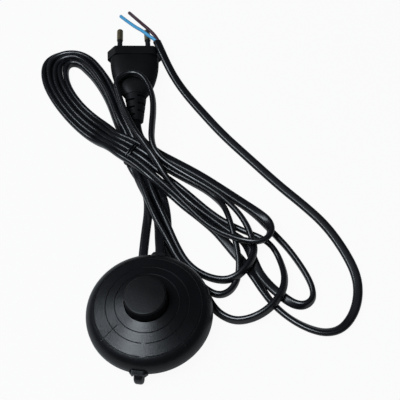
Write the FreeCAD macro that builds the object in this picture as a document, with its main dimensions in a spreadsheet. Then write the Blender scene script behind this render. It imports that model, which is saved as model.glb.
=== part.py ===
import FreeCAD, Part
import math
import os
import Sketcher
from FreeCAD import Placement, Rotation, Vector

# In-line lamp foot switch with its flat cord, plug, hank and stripped lamp end.
# Millimetres, +Z up. The origin is the middle of the switch on the floor, with the cord axis along Y.

doc = FreeCAD.newDocument("foot_switch")
sheet = doc.addObject("Spreadsheet::Sheet", "sizes")

SIZES = {
    # Housing
    "rim_radius": 35.0,
    "rim_height": 11.0,
    "rim_round": 9.0,
    "part_line": 9.1,
    "bead_inset": 5.6,
    "bead_ledge": 1.0,
    "cover_top": 25.3,
    "cover_wall": 2.2,
    "collar_width": 2.9,
    "collar_depth": 3.4,
    "base_under": 4.0,
    "base_floor": 2.2,
    "base_wall": 2.2,
    "base_taper": 3.5,
    "base_step": 0.4,
    "lip_height": 1.5,
    "lip_wall": 2.2,
    "fit_gap": 0.3,
    "cut_overrun": 1.0,
    # Grooves of the cover
    "groove_width": 0.55,
    "groove_depth": 0.5,
    "groove_middle_radius": 22.7,
    "groove_inner_radius": 17.5,
    "groove_bridge_angle": 6.0,
    "groove_bridge_turn": 4.5,
    "spoke_inner_radius": 19.6,
    "spoke_outer_inset": 3.8,
    "spoke_left_angle": 44.0,
    "spoke_right_angle": 49.5,
    # Button and its drive
    "button_radius": 12.0,
    "button_draft": 0.5,
    "button_top": 33.5,
    "button_crown": 0.7,
    "button_edge": 1.1,
    "button_roof": 4.6,
    "button_wall": 1.4,
    "button_gap": 0.35,
    "button_skirt": 15.0,
    "flange_width": 2.2,
    "flange_thick": 1.9,
    "press_travel": 4.0,
    "cam_inner_radius": 4.6,
    "cam_outer_radius": 7.8,
    "finger_angle": 18.0,
    "finger_start": 44.0,
    "turn_angle": 45.0,
    "tooth_angle": 60.0,
    "tooth_count": 4,
    "tooth_foot": 0.5,
    "cam_gap": 0.35,
    # Rotor, axle and spring
    "rotor_radius": 8.0,
    "rotor_under": 8.4,
    "rotor_disc": 2.6,
    "hub_radius": 3.4,
    "hub_height": 8.0,
    "axle_radius": 1.5,
    "axle_fit": 0.05,
    "axle_top": 17.5,
    "axle_post_radius": 3.0,
    "axle_post_height": 1.1,
    "well_inner_radius": 8.4,
    "well_outer_radius": 10.2,
    "well_top": 12.5,
    "spring_radius": 9.35,
    "spring_wire": 1.0,
    "spring_turns": 6.5,
    # Contacts and terminals
    "bridge_length": 14.4,
    "bridge_width": 5.4,
    "bridge_thick": 0.8,
    "strip_inner": 5.2,
    "strip_width": 4.0,
    "strip_thick": 0.8,
    "terminal_size": 6.0,
    "terminal_height": 4.4,
    "terminal_radius": 15.4,
    "neutral_inset": 9.8,
    "neutral_width": 5.4,
    "neutral_length": 13.0,
    "neutral_pitch": 7.6,
    "terminal_screw_radius": 1.25,
    "terminal_screw_head": 1.9,
    "terminal_screw_length": 3.2,
    "terminal_head_height": 1.4,
    # Cord clamps
    "clamp_inset": 10.0,
    "clamp_length": 16.4,
    "clamp_width": 4.4,
    "clamp_thick": 2.1,
    "clamp_pitch": 11.6,
    "clamp_screw_radius": 1.1,
    "clamp_screw_head": 1.8,
    "clamp_head_height": 1.4,
    "clamp_bite": 2.6,
    # Hoods over the cord openings
    "hood_width": 10.4,
    "hood_height": 3.8,
    "hood_stand": 1.9,
    "hood_round": 2.6,
    "hood_corner": 1.7,
    # Cover screws and feet
    "screw_inset": 9.5,
    "screw_radius": 1.4,
    "screw_head_radius": 2.7,
    "screw_head_height": 1.8,
    "screw_recess": 2.4,
    "screw_length": 6.5,
    "screw_angle": 55.0,
    "boss_radius": 3.5,
    "boss_top": 19.2,
    "foot_radius": 4.5,
    "foot_inset": 5.5,
    "foot_angle": 35.0,
    "foot_seat": 0.6,
    "foot_taper": 0.6,
    # Cord
    "cord_width": 5.4,
    "cord_thick": 3.3,
    "cord_tube": 3.6,
    "cord_slot_gap": 0.3,
    "cord_clear": 0.1,
    "hood_clear": 0.2,
    "sheath_stub": 0.8,
    "relief_run": 8.0,
    "core_diameter": 2.2,
    "core_run": 3.0,
    "stripped_run": 4.0,
    "terminal_run": 4.5,
    # Plug
    "plug_place_x": -41.2,
    "plug_place_y": 183.6,
    "plug_turn": 11.5,
    "plug_roll": 8.4,
    "plug_width": 35.3,
    "plug_height": 13.7,
    "plug_flat": 25.0,
    "plug_flange": 6.4,
    "plug_body_width": 31.0,
    "plug_body_length": 36.0,
    "plug_relief_length": 20.0,
    "plug_relief_width": 14.0,
    "plug_relief_height": 9.0,
    "plug_relief_shoulder": 0.5,
    "plug_relief_end_width": 8.6,
    "plug_relief_end_height": 6.4,
    "plug_slot_width": 1.4,
    "plug_slot_pitch": 5.6,
    "plug_slot_first": 2.2,
    "plug_slot_web": 0.9,
    "plug_slot_count": 6,
    "plug_edge": 1.4,
    "plug_body_step": 0.9,
    "pin_spacing": 18.6,
    "pin_length": 19.0,
    "pin_radius": 2.0,
    "pin_core_radius": 1.15,
    "pin_root": 9.0,
    "pin_lean": 1.6,
    "pin_nose": 1.2,
    "sleeve_radius": 1.65,
    "sleeve_seat": 1.0,
    "sleeve_length": 10.0,
    # Hank
    "hank_height": 9.0,
    "hank_edge": 1.2,
    "hank_clear": 0.2,
    "waist_place_x": -27.5,
    "waist_place_y": 104.5,
    "waist_radius": 6.9,
    "waist_length": 24.0,
    "waist_turn": -28.0,
    "tie_wire": 1.0,
}

for row, (alias, value) in enumerate(SIZES.items(), start=1):
    sheet.set(f"A{row}", alias)
    sheet.set(f"B{row}", str(value))
    sheet.setAlias(f"B{row}", alias)
doc.recompute()


def size(formula):
    """Value of a formula written with the sheet's aliases."""
    return float(sheet.evalExpression(formula))


def bind(item, **formulas):
    """Ties properties of a document object to formulas of the sheet."""
    for name, formula in formulas.items():
        item.setExpression(name, tied(formula))


def tied(formula):
    """The formula with every alias written as a reference to the sheet."""
    words = []
    word = ""
    for mark in formula + " ":
        if mark.isalnum() or mark == "_":
            word += mark
            continue
        words.append("sizes." + word if word in SIZES else word)
        words.append(mark)
        word = ""
    return "".join(words).strip()


# Heights and radii that several pieces share, as formulas of the sheet
BEAD_RADIUS = "(rim_radius - bead_inset)"
BASE_FOOT = "(rim_radius - base_taper)"
HOOD_REACH = "(rim_radius + hood_stand)"
CLAMP_PLACE = "(rim_radius - clamp_inset)"
NEUTRAL_PLACE = "(neutral_inset - rim_radius)"
STRIP_OUTER = "(terminal_radius + terminal_size / 2)"
FLOOR = "(base_under + base_floor)"
HOLE = "(button_radius + button_gap)"
CEILING = "(cover_top - collar_depth)"
ROOF = "(button_top - button_roof)"
RIM_CENTRE = "(rim_radius - rim_round)"
BEAD_TOP = f"(rim_height + sqrt(rim_round^2 - ({BEAD_RADIUS} - {RIM_CENTRE})^2))"
CONE_SLOPE = f"((cover_top - {BEAD_TOP}) / ({BEAD_RADIUS} - {HOLE}))"
STRIP_TOP = f"({FLOOR} + strip_thick)"
CLAMP_UNDER = "(part_line + cord_tube / 2)"
SEAT_TOP = "(part_line - cord_tube / 2)"
LIP_RADIUS = "(rim_radius - cover_wall - fit_gap)"
SCREW_PLACE = ("(rim_radius - screw_inset) * cos(screw_angle)", "(rim_radius - screw_inset) * sin(screw_angle)")


def cone_height(radius):
    """Formula of the cover's outer height at a radius on its cone."""
    return f"(cover_top - (({radius}) - {HOLE}) * {CONE_SLOPE})"


def plane(body, role):
    """Origin plane of a body."""
    return next(feature for feature in body.Origin.OriginFeatures if feature.Role == role)


def new_body(name):
    body = doc.addObject("PartDesign::Body", name)
    body.Label = name
    return body


def new_sketch(body, name, role):
    sketch = body.newObject("Sketcher::SketchObject", name)
    sketch.AttachmentSupport = (plane(body, role), "")
    sketch.MapMode = "FlatFace"
    return sketch


def fix_point(sketch, element, end, point):
    """Ties one end of a sketch element to a pair of formulas."""
    for axis, formula, line in zip(("DistanceX", "DistanceY"), point, (-2, -1)):
        if formula == "0":
            sketch.addConstraint(Sketcher.Constraint("PointOnObject", element, end, line))
            continue
        number = sketch.addConstraint(Sketcher.Constraint(axis, -1, 1, element, end, size(formula)))
        sketch.setExpression(f"Constraints[{number}]", tied(formula))


def outline(sketch, corners, arcs=None):
    """Closed outline through corners given as formulas. arcs maps a side to its radius and to the way
    it bulges, 1 to the left of the way round and -1 to the right."""
    arcs = arcs or {}
    spots = [Vector(size(x), size(y), 0) for x, y in corners]
    count = len(spots)
    sides = []
    for side, start in enumerate(spots):
        stop = spots[(side + 1) % count]
        if side not in arcs:
            sides.append((sketch.addGeometry(Part.LineSegment(start, stop)), 1, 2))
            continue
        radius = size(arcs[side][0])
        bulge = arcs[side][1]
        across = Vector(start.y - stop.y, stop.x - start.x, 0).normalize()
        rise = radius - math.sqrt(radius ** 2 - (stop - start).Length ** 2 / 4)
        crown = (start + stop) / 2 + across * bulge * rise
        if bulge > 0:
            sides.append((sketch.addGeometry(Part.Arc(stop, crown, start)), 2, 1))
        else:
            sides.append((sketch.addGeometry(Part.Arc(start, crown, stop)), 1, 2))
    for side, (element, start_end, stop_end) in enumerate(sides):
        following, follow_end, _ = sides[(side + 1) % count]
        sketch.addConstraint(Sketcher.Constraint("Coincident", element, stop_end, following, follow_end))
        fix_point(sketch, element, start_end, corners[side])
        if side in arcs:
            number = sketch.addConstraint(Sketcher.Constraint("Radius", element, size(arcs[side][0])))
            sketch.setExpression(f"Constraints[{number}]", tied(arcs[side][0]))


def circle(sketch, point, radius):
    """Circle whose centre and radius follow formulas."""
    centre = Vector(size(point[0]), size(point[1]), 0)
    element = sketch.addGeometry(Part.Circle(centre, Vector(0, 0, 1), size(radius)))
    fix_point(sketch, element, 3, point)
    number = sketch.addConstraint(Sketcher.Constraint("Radius", element, size(radius)))
    sketch.setExpression(f"Constraints[{number}]", tied(radius))


def rectangle(sketch, left, right, low, high):
    outline(sketch, [(left, low), (right, low), (right, high), (left, high)])


def revolve(body, sketch, kind="PartDesign::Revolution", angle="360"):
    """Full or partial turn of a sketch about the upright axis, even on both sides of the sketch."""
    feature = body.newObject(kind, sketch.Name + "_turn")
    feature.Profile = sketch
    feature.ReferenceAxis = (sketch, ["V_Axis"])
    feature.Midplane = True
    bind(feature, Angle=angle)
    return feature


def extrude(body, sketch, length, kind="PartDesign::Pad", offset="0", reverse=False):
    """Pad or pocket of a sketch, which is first lifted off its plane by an offset."""
    feature = body.newObject(kind, sketch.Name + "_solid")
    feature.Profile = sketch
    feature.Reversed = reverse
    bind(feature, Length=length)
    if offset != "0":
        sketch.setExpression("AttachmentOffset.Base.z", tied(offset))
    return feature


def pattern(body, feature, occurrences):
    """Copies of a feature spread evenly round the upright axis."""
    copies = body.newObject("PartDesign::PolarPattern", feature.Name + "_pattern")
    copies.Originals = [feature]
    copies.Axis = (plane(body, "Z_Axis"), [""])
    copies.Angle = 360
    bind(copies, Occurrences=occurrences)
    body.Tip = copies
    return copies


def cylinder(name, radius, low, high, x="0", y="0"):
    """Upright Part cylinder between two heights."""
    item = doc.addObject("Part::Cylinder", name)
    bind(item, Radius=radius, Height=f"({high}) - ({low})")
    bind(item, **{"Placement.Base.x": x, "Placement.Base.y": y, "Placement.Base.z": low})
    return item


def block(name, width, depth, low, high, x="0", y="0"):
    """Part box centred on a point of the plan, between two heights."""
    item = doc.addObject("Part::Box", name)
    bind(item, Length=width, Width=depth, Height=f"({high}) - ({low})")
    bind(item, **{"Placement.Base.x": f"({x}) - ({width}) / 2", "Placement.Base.y": f"({y}) - ({depth}) / 2",
                  "Placement.Base.z": low})
    return item


def joined(name, items):
    item = doc.addObject("Part::MultiFuse", name)
    item.Shapes = items
    item.Label = name
    return item


def without(name, base, tools):
    """Base less one or more tools."""
    item = doc.addObject("Part::Cut", name)
    item.Base = base
    item.Tool = tools[0] if len(tools) == 1 else joined(name + "_tools", tools)
    item.Label = name
    return item


def grouped(name, items):
    item = doc.addObject("Part::Compound", name)
    item.Links = items
    item.Label = name
    return item


def feature(name, shape, placement=None):
    """Sub-part whose shape is made directly from the sheet's values."""
    item = doc.addObject("Part::Feature", name)
    item.Shape = shape
    if placement:
        item.Placement = placement
    item.Label = name
    return item


nodes = []

# Top cover: a shallow cone between a round rim and the button's collar
cover = new_body("cover_shell")
inner_bead = f"({BEAD_RADIUS} - bead_ledge)"
inner_round = "rim_round - cover_wall"
profile = new_sketch(cover, "cover_profile", "YZ_Plane")
outline(profile, [
    (HOLE, CEILING),
    (HOLE, "cover_top"),
    (BEAD_RADIUS, BEAD_TOP),
    ("rim_radius", "rim_height"),
    ("rim_radius", "part_line"),
    ("rim_radius - cover_wall", "part_line"),
    ("rim_radius - cover_wall", "rim_height"),
    (inner_bead, f"rim_height + sqrt(({inner_round})^2 - ({inner_bead} - {RIM_CENTRE})^2)"),
    (f"{HOLE} + collar_width", CEILING),
], {2: ("rim_round", 1), 6: (inner_round, -1)})
revolve(cover, profile)

# Ring grooves: the two outer ones are bridged at the front, the inner one runs all the way round
for ring, radius, angle in (("inner", "groove_inner_radius", "360"),
                            ("middle", "groove_middle_radius", "360 - groove_bridge_angle"),
                            ("outer", BEAD_RADIUS, "360 - groove_bridge_angle")):
    cut = new_sketch(cover, f"groove_{ring}", "YZ_Plane")
    cut.AttachmentOffset = Placement(Vector(), Rotation(Vector(0, 1, 0), size("groove_bridge_turn")))
    rectangle(cut, f"{radius} - groove_width / 2", f"{radius} + groove_width / 2",
              f"{cone_height(radius)} - groove_depth", "cover_top")
    revolve(cover, cut, "PartDesign::Groove", angle)

# Hoods over the two cord openings, and the bosses that take the cover screws
hood = new_sketch(cover, "hood_profile", "XZ_Plane")
outline(hood, [
    ("-hood_width / 2", "part_line"),
    ("hood_width / 2", "part_line"),
    ("hood_width / 2", "part_line + hood_height - hood_round"),
    ("hood_width / 2 - hood_round", "part_line + hood_height"),
    ("hood_round - hood_width / 2", "part_line + hood_height"),
    ("-hood_width / 2", "part_line + hood_height - hood_round"),
], {2: ("hood_round", -1), 4: ("hood_round", -1)})
hood_inside = "rim_radius - cover_wall"
hood_pad = extrude(cover, hood, f"{HOOD_REACH} - ({hood_inside})", offset=hood_inside)
pattern(cover, hood_pad, "2")
hood_corners = new_sketch(cover, "hood_corners", "XY_Plane")
for sign in ("", "-"):
    outline(hood_corners, [
        (f"{sign}(hood_width / 2 + fit_gap)", f"{HOOD_REACH} - hood_corner - fit_gap"),
        (f"{sign}(hood_width / 2 + fit_gap)", f"{HOOD_REACH} + fit_gap"),
        (f"{sign}(hood_width / 2 - hood_corner - fit_gap)", f"{HOOD_REACH} + fit_gap"),
    ])
corner_cut = extrude(cover, hood_corners, "hood_height", "PartDesign::Pocket", "part_line", reverse=True)
pattern(cover, corner_cut, "2")
boss = new_sketch(cover, "boss_circle", "XY_Plane")
circle(boss, SCREW_PLACE, "boss_radius")
boss_pad = extrude(cover, boss, "boss_top - part_line", offset="part_line")
pattern(cover, boss_pad, "2")
pilot = new_sketch(cover, "pilot_circle", "XY_Plane")
circle(pilot, SCREW_PLACE, "screw_radius")
pilot_cut = extrude(cover, pilot, "screw_length", "PartDesign::Pocket", "part_line", reverse=True)
pattern(cover, pilot_cut, "2")

# Oval opening for the flat cord, shared by the cover and the base, with its middle on the parting line
opening_height = "cord_thick + 2 * cord_slot_gap"
opening_width = "cord_width + 2 * cord_slot_gap"


def cord_opening(name):
    """Oval bar along Y that clears the cord through both ends of the housing."""
    length = f"2 * ({HOOD_REACH} + cut_overrun)"
    bar = block(name + "_bar", f"{opening_width} - ({opening_height})", length,
                f"part_line - ({opening_height}) / 2", f"part_line + ({opening_height}) / 2")
    sides = []
    for side, sign in (("left", "-1"), ("right", "1")):
        round_side = doc.addObject("Part::Cylinder", f"{name}_{side}")
        bind(round_side, Radius=f"({opening_height}) / 2", Height=length)
        round_side.Placement = Placement(Vector(), Rotation(Vector(1, 0, 0), -90))
        bind(round_side, **{"Placement.Base.x": f"{sign} * ({opening_width} - ({opening_height})) / 2",
                            "Placement.Base.y": f"-({length}) / 2", "Placement.Base.z": "part_line"})
        sides.append(round_side)
    return joined(name, [bar] + sides)


# Radial grooves on the front of the cone, laid along its slope
spokes = []
spoke_length = "(rim_radius - spoke_outer_inset - spoke_inner_radius)"
for side, angle in (("left", "-90 - spoke_left_angle"), ("right", "-90 + spoke_right_angle")):
    spoke = doc.addObject("Part::Box", f"spoke_{side}")
    bind(spoke, Length=f"{spoke_length} / cos(atan({CONE_SLOPE}))", Width="groove_width", Height="cover_top")
    turn = Rotation(Vector(0, 0, 1), size(angle))
    tilt = Rotation(Vector(0, 1, 0), math.degrees(math.atan(size(CONE_SLOPE))))
    start = turn.multVec(Vector(size("spoke_inner_radius"), -size("groove_width") / 2, 0))
    start.z = size(f"{cone_height('spoke_inner_radius')} - groove_depth")
    spoke.Placement = Placement(start, turn.multiply(tilt))
    spokes.append(spoke)
nodes.append(without("top_cover", cover, [cord_opening("cover_opening")] + spokes))

# Base plate: floor, tapered side wall with a lip inside the cover, rotor well, clamp seats and bosses
base = new_body("base_shell")
profile = new_sketch(base, "base_profile", "YZ_Plane")
wall_top = "(rim_radius - base_step)"
outline(profile, [
    ("0", "base_under"),
    (BASE_FOOT, "base_under"),
    (wall_top, "part_line"),
    (LIP_RADIUS, "part_line"),
    (LIP_RADIUS, "part_line + lip_height"),
    (f"{LIP_RADIUS} - lip_wall", "part_line + lip_height"),
    (f"{LIP_RADIUS} - lip_wall", "part_line"),
    (f"{BASE_FOOT} - base_wall", FLOOR),
    ("0", FLOOR),
])
revolve(base, profile)
well = new_sketch(base, "well_ring", "XY_Plane")
circle(well, ("0", "0"), "well_outer_radius")
circle(well, ("0", "0"), "well_inner_radius")
extrude(base, well, f"well_top - {FLOOR}", offset=FLOOR)
post = new_sketch(base, "axle_post", "XY_Plane")
circle(post, ("0", "0"), "axle_post_radius")
extrude(base, post, "axle_post_height", offset=FLOOR)
seat = new_sketch(base, "clamp_seat", "XY_Plane")
rectangle(seat, "-clamp_length / 2", "clamp_length / 2", f"{CLAMP_PLACE} - clamp_width / 2",
          f"{CLAMP_PLACE} + clamp_width / 2")
seat_pad = extrude(base, seat, f"{SEAT_TOP} - {FLOOR}", offset=FLOOR)
pattern(base, seat_pad, "2")
boss = new_sketch(base, "base_boss", "XY_Plane")
circle(boss, SCREW_PLACE, "boss_radius")
boss_pad = extrude(base, boss, f"part_line - {FLOOR}", offset=FLOOR)
pattern(base, boss_pad, "2")

# Holes of the base: axle, cover screws with their recesses, clamp screws, seats of the feet
axle_hole = new_sketch(base, "axle_hole", "XY_Plane")
circle(axle_hole, ("0", "0"), "axle_radius")
extrude(base, axle_hole, "base_floor / 2 + axle_post_height", "PartDesign::Pocket", f"{FLOOR} + axle_post_height")
shank = new_sketch(base, "screw_shank", "XY_Plane")
circle(shank, SCREW_PLACE, "screw_radius + fit_gap")
shank_cut = extrude(base, shank, "part_line - base_under", "PartDesign::Pocket", "part_line")
pattern(base, shank_cut, "2")
recess = new_sketch(base, "screw_recess", "XY_Plane")
circle(recess, SCREW_PLACE, "screw_head_radius + fit_gap")
recess_cut = extrude(base, recess, "screw_recess", "PartDesign::Pocket", "base_under", reverse=True)
pattern(base, recess_cut, "2")
clamp_hole = new_sketch(base, "clamp_holes", "XY_Plane")
for sign in ("", "-"):
    circle(clamp_hole, (f"{sign}clamp_pitch / 2", CLAMP_PLACE), "clamp_screw_radius")
clamp_cut = extrude(base, clamp_hole, "clamp_bite", "PartDesign::Pocket", SEAT_TOP)
pattern(base, clamp_cut, "2")
foot_x = f"({BASE_FOOT} - foot_inset) * cos(foot_angle)"
foot_y = f"({BASE_FOOT} - foot_inset) * sin(foot_angle)"
FOOT_PLACES = [(x + foot_x, y + foot_y) for x in ("", "-") for y in ("", "-")]
foot_seats = new_sketch(base, "foot_seats", "XY_Plane")
for place in FOOT_PLACES:
    circle(foot_seats, place, "foot_radius")
extrude(base, foot_seats, "foot_seat", "PartDesign::Pocket", "base_under", reverse=True)

# Slots in the well for the contact strips, then the cord opening
strip_slot = block("strip_slot", "2 * (well_outer_radius + cut_overrun)", "strip_width + 2 * fit_gap",
                   FLOOR, f"{STRIP_TOP} + fit_gap")
slot_keep = cylinder("slot_keep", "well_inner_radius - fit_gap", FLOOR, f"{STRIP_TOP} + 2 * fit_gap")
slots = without("strip_slots", strip_slot, [slot_keep])
nodes.append(without("base_plate", base, [slots, cord_opening("base_opening")]))

# Push button: capped sleeve with a flange that the cover's collar stops
button = new_body("push_button")
skirt_inside = "(button_radius - button_wall)"
flange_top = f"({CEILING} - fit_gap)"
profile = new_sketch(button, "button_profile", "YZ_Plane")
outline(profile, [
    ("0", ROOF),
    ("0", "button_top"),
    ("button_radius - button_draft", "button_top - button_crown"),
    ("button_radius", flange_top),
    ("button_radius + flange_width", flange_top),
    ("button_radius + flange_width", f"{flange_top} - flange_thick"),
    ("button_radius", f"{flange_top} - flange_thick"),
    ("button_radius", "button_skirt"),
    (skirt_inside, "button_skirt"),
    (skirt_inside, ROOF),
], {1: ("((button_radius - button_draft)^2 + button_crown^2) / (2 * button_crown)", 1)})
sleeve = revolve(button, profile)
doc.recompute()
crown_edge = next(f"Edge{number}" for number, edge in enumerate(sleeve.Shape.Edges, start=1)
                  if edge.Length > 1 and abs(edge.CenterOfMass.z - size("button_top - button_crown")) < 0.01)
crown = button.newObject("PartDesign::Fillet", "button_crown_round")
crown.Base = (sleeve, [crown_edge])
bind(crown, Radius="button_edge")
nodes.append(button)

# Ratchet: helical ramps on the rotor, and fingers on the plunger that end in the same slope
CAM_RISE = "(press_travel / turn_angle)"
RAMP_FOOT = "(rotor_under + rotor_disc + tooth_foot)"
TOOTH_TOP = f"({RAMP_FOOT} + {CAM_RISE} * tooth_angle)"


def ramp(angle, span, foot, depth):
    """Ring sector from an angle over a span whose upper or lower end is a helical ramp through the foot
    height at angle zero; a positive depth fills above the ramp and a negative one below it."""
    pitch = size(f"{CAM_RISE} * 360")
    curves = [Part.makeHelix(pitch, pitch * span / 360, size(radius)).Edges[0]
              for radius in ("cam_inner_radius", "cam_outer_radius")]
    face = Part.makeRuledSurface(curves[0], curves[1])
    face.rotate(Vector(), Vector(0, 0, 1), angle)
    face.translate(Vector(0, 0, foot + pitch * angle / 360))
    return face.extrude(Vector(0, 0, depth))


def ring(outer, inner, low, high):
    """Upright tube between two heights, all four as numbers."""
    tube = Part.makeCylinder(outer, high - low, Vector(0, 0, low))
    return tube.cut(Part.makeCylinder(inner, high - low, Vector(0, 0, low)))


tooth_step = 360 / size("tooth_count")
disc_top = size("rotor_under + rotor_disc")
bore = size("axle_radius + axle_fit")
rotor = ring(size("rotor_radius"), bore, size("rotor_under"), disc_top)
rotor = rotor.fuse(ring(size("hub_radius"), bore, disc_top, size("rotor_under + hub_height")))
below = size(f"{TOOTH_TOP} - rotor_under")
band = ring(size("cam_outer_radius"), size("cam_inner_radius"), disc_top, size(f"{TOOTH_TOP} + cut_overrun"))
for number in range(int(size("tooth_count"))):
    tooth = ramp(0, size("tooth_angle"), size(RAMP_FOOT), -below).common(band)
    tooth.rotate(Vector(), Vector(0, 0, 1), number * tooth_step)
    rotor = rotor.fuse(tooth)
nodes.append(feature("ratchet_rotor", rotor.removeSplitter()))

finger_root = size(f"{TOOTH_TOP} + press_travel + cam_gap")
finger_fill = finger_root - size(RAMP_FOOT)
plunger = ring(size("cam_outer_radius"), size("cam_inner_radius"), finger_root, size(ROOF))
for number in range(int(size("tooth_count"))):
    finger = ramp(size("finger_start"), size("finger_angle"), size(f"{RAMP_FOOT} + cam_gap"), finger_fill)
    finger = finger.common(ring(size("cam_outer_radius"), size("cam_inner_radius"), disc_top, finger_root))
    finger.rotate(Vector(), Vector(0, 0, 1), number * tooth_step)
    plunger = plunger.fuse(finger)
nodes.append(feature("plunger", plunger.removeSplitter()))

# Rotor axle, standing in the base's post
nodes.append(cylinder("rotor_axle", "axle_radius", "base_under + base_floor / 2", "axle_top"))

# Return spring, from the well's rim to the button's roof
wire = size("spring_wire")
spring_low = size("well_top") + wire / 2
spring_high = size(ROOF) - wire / 2
spring_line = Part.makeHelix((spring_high - spring_low) / size("spring_turns"), spring_high - spring_low,
                             size("spring_radius"))
section = Part.Wire([Part.makeCircle(wire / 2, Vector(size("spring_radius"), 0, 0), Vector(0, 1, 0))])
spring = Part.Wire(spring_line.Edges).makePipeShell([section], True, True)
nodes.append(feature("return_spring", spring, Placement(Vector(0, 0, spring_low), Rotation())))

# Contact bridge under the rotor, at right angles to the fixed contacts while the lamp is off
bridge_low = "rotor_under - bridge_thick"
bridge_bar = block("bridge_bar", "bridge_width", "bridge_length", bridge_low, "rotor_under")
bridge_disc = cylinder("bridge_disc", "bridge_length / 2", bridge_low, "rotor_under")
bridge_plate = doc.addObject("Part::Common", "bridge_plate")
bridge_plate.Base = bridge_bar
bridge_plate.Tool = bridge_disc
bridge_hole = cylinder("bridge_hole", "axle_radius + fit_gap", bridge_low, "rotor_under")
nodes.append(without("contact_bridge", bridge_plate, [bridge_hole]))

# Fixed contacts: a strip through the well's slot with a screw terminal at its outer end
terminal_top = f"({STRIP_TOP} + terminal_height)"
terminal_screws = []


def terminal_screw(name, x, y, top):
    """Cheese-head screw that stands in a terminal whose top is at the given height."""
    shank = cylinder(name + "_shank", "terminal_screw_radius", f"{top} - terminal_screw_length", top, x, y)
    head = cylinder(name + "_head", "terminal_screw_head", top, f"{top} + terminal_head_height", x, y)
    terminal_screws.append(joined(name, [shank, head]))


for side, sign in (("left", "-"), ("right", "")):
    middle = f"{sign}(strip_inner + {STRIP_OUTER}) / 2"
    strip = block(f"strip_{side}", f"{STRIP_OUTER} - strip_inner", "strip_width", FLOOR, STRIP_TOP, middle)
    place = f"{sign}terminal_radius"
    post = block(f"terminal_{side}", "terminal_size", "terminal_size", FLOOR, terminal_top, place)
    hole = cylinder(f"terminal_hole_{side}", "terminal_screw_radius", f"{terminal_top} - terminal_screw_length",
                    terminal_top, place)
    nodes.append(without(f"contact_{side}", joined(f"contact_bar_{side}", [strip, post]), [hole]))
    terminal_screw(f"contact_screw_{side}", place, "0", terminal_top)

# Neutral link: a brass bar with two screws, beside the switch works
neutral_top = f"({FLOOR} + terminal_height)"
neutral_bar = block("neutral_bar", "neutral_width", "neutral_length", FLOOR, neutral_top, NEUTRAL_PLACE)
holes = []
for end, sign in (("front", "-"), ("back", "")):
    place_y = f"{sign}neutral_pitch / 2"
    holes.append(cylinder(f"neutral_hole_{end}", "terminal_screw_radius",
                          f"{neutral_top} - terminal_screw_length", neutral_top, NEUTRAL_PLACE, place_y))
    terminal_screw(f"neutral_screw_{end}", NEUTRAL_PLACE, place_y, neutral_top)
nodes.append(without("neutral_link", neutral_bar, holes))
nodes.append(grouped("terminal_screws", terminal_screws))

# Cord clamps with their screws
clamp_screws = []
for end, sign in (("front", "-"), ("back", "")):
    place_y = f"{sign}{CLAMP_PLACE}"
    bar = block(f"clamp_bar_{end}", "clamp_length", "clamp_width", CLAMP_UNDER, f"{CLAMP_UNDER} + clamp_thick",
                "0", place_y)
    holes = []
    for side, mark in (("left", "-"), ("right", "")):
        place_x = f"{mark}clamp_pitch / 2"
        name = f"clamp_{end}_{side}"
        top = f"({CLAMP_UNDER} + clamp_thick)"
        holes.append(cylinder(name + "_hole", "clamp_screw_radius + axle_fit", CLAMP_UNDER, top, place_x, place_y))
        shank = cylinder(name + "_shank", "clamp_screw_radius", f"{SEAT_TOP} - clamp_bite", top, place_x, place_y)
        head = cylinder(name + "_head", "clamp_screw_head", top, f"{top} + clamp_head_height", place_x, place_y)
        clamp_screws.append(joined(name, [shank, head]))
    nodes.append(without(f"clamp_{end}", bar, holes))
nodes.append(grouped("clamp_screws", clamp_screws))

# Cover screws, from below, and rubber feet in their seats
cover_screws = []
head_seat = "(base_under + screw_recess)"
for side, sign in (("left", "-"), ("right", "")):
    place = [f"{sign}{distance}" for distance in SCREW_PLACE]
    head = cylinder(f"cover_screw_head_{side}", "screw_head_radius", f"{head_seat} - screw_head_height",
                    head_seat, *place)
    shank = cylinder(f"cover_screw_shank_{side}", "screw_radius", head_seat, "part_line + screw_length", *place)
    cover_screws.append(joined(f"cover_screw_{side}", [head, shank]))
nodes.append(grouped("cover_screws", cover_screws))
feet = []
for number, (x, y) in enumerate(FOOT_PLACES):
    foot = doc.addObject("Part::Cone", f"foot_{number}")
    bind(foot, Radius1="foot_radius - foot_taper", Radius2="foot_radius", Height="base_under + foot_seat")
    bind(foot, **{"Placement.Base.x": x, "Placement.Base.y": y})
    feet.append(foot)
nodes.append(grouped("rubber_feet", feet))

# Tubes of cords and cores: straight runs joined by tangent arcs as large as the runs allow
ARC_SHARE = 0.45


def tube(name, points, diameter):
    """Round tube along a route of points, with its smallest radius and length printed."""
    spots = [Vector(*point) for point in points]
    edges = []
    radii = []
    start = spots[0]
    for before, corner, after in zip(spots, spots[1:], spots[2:]):
        inward = (corner - before).normalize()
        outward = (after - corner).normalize()
        reach = ARC_SHARE * min((corner - before).Length, (after - corner).Length)
        half_turn = inward.getAngle(outward) / 2
        radius = reach / math.tan(half_turn)
        bisector = (outward - inward).normalize()
        crown = corner + bisector * (radius / math.cos(half_turn) - radius)
        arc_start = corner - inward * reach
        arc_stop = corner + outward * reach
        edges.append(Part.LineSegment(start, arc_start).toShape())
        edges.append(Part.Arc(arc_start, crown, arc_stop).toShape())
        radii.append(radius)
        start = arc_stop
    edges.append(Part.LineSegment(start, spots[-1]).toShape())
    path = Part.Wire(edges)
    heading = spots[1] - spots[0]
    section = Part.Wire([Part.makeCircle(diameter / 2, spots[0], heading)])
    solid = path.makePipeShell([section], True, False)
    share = solid.Volume / (path.Length * math.pi * diameter ** 2 / 4)
    print(f"{name}: length {path.Length:.0f}, volume {share:.3f} of section by length, radii",
          [round(radius, 1) for radius in radii])
    return solid


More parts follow.
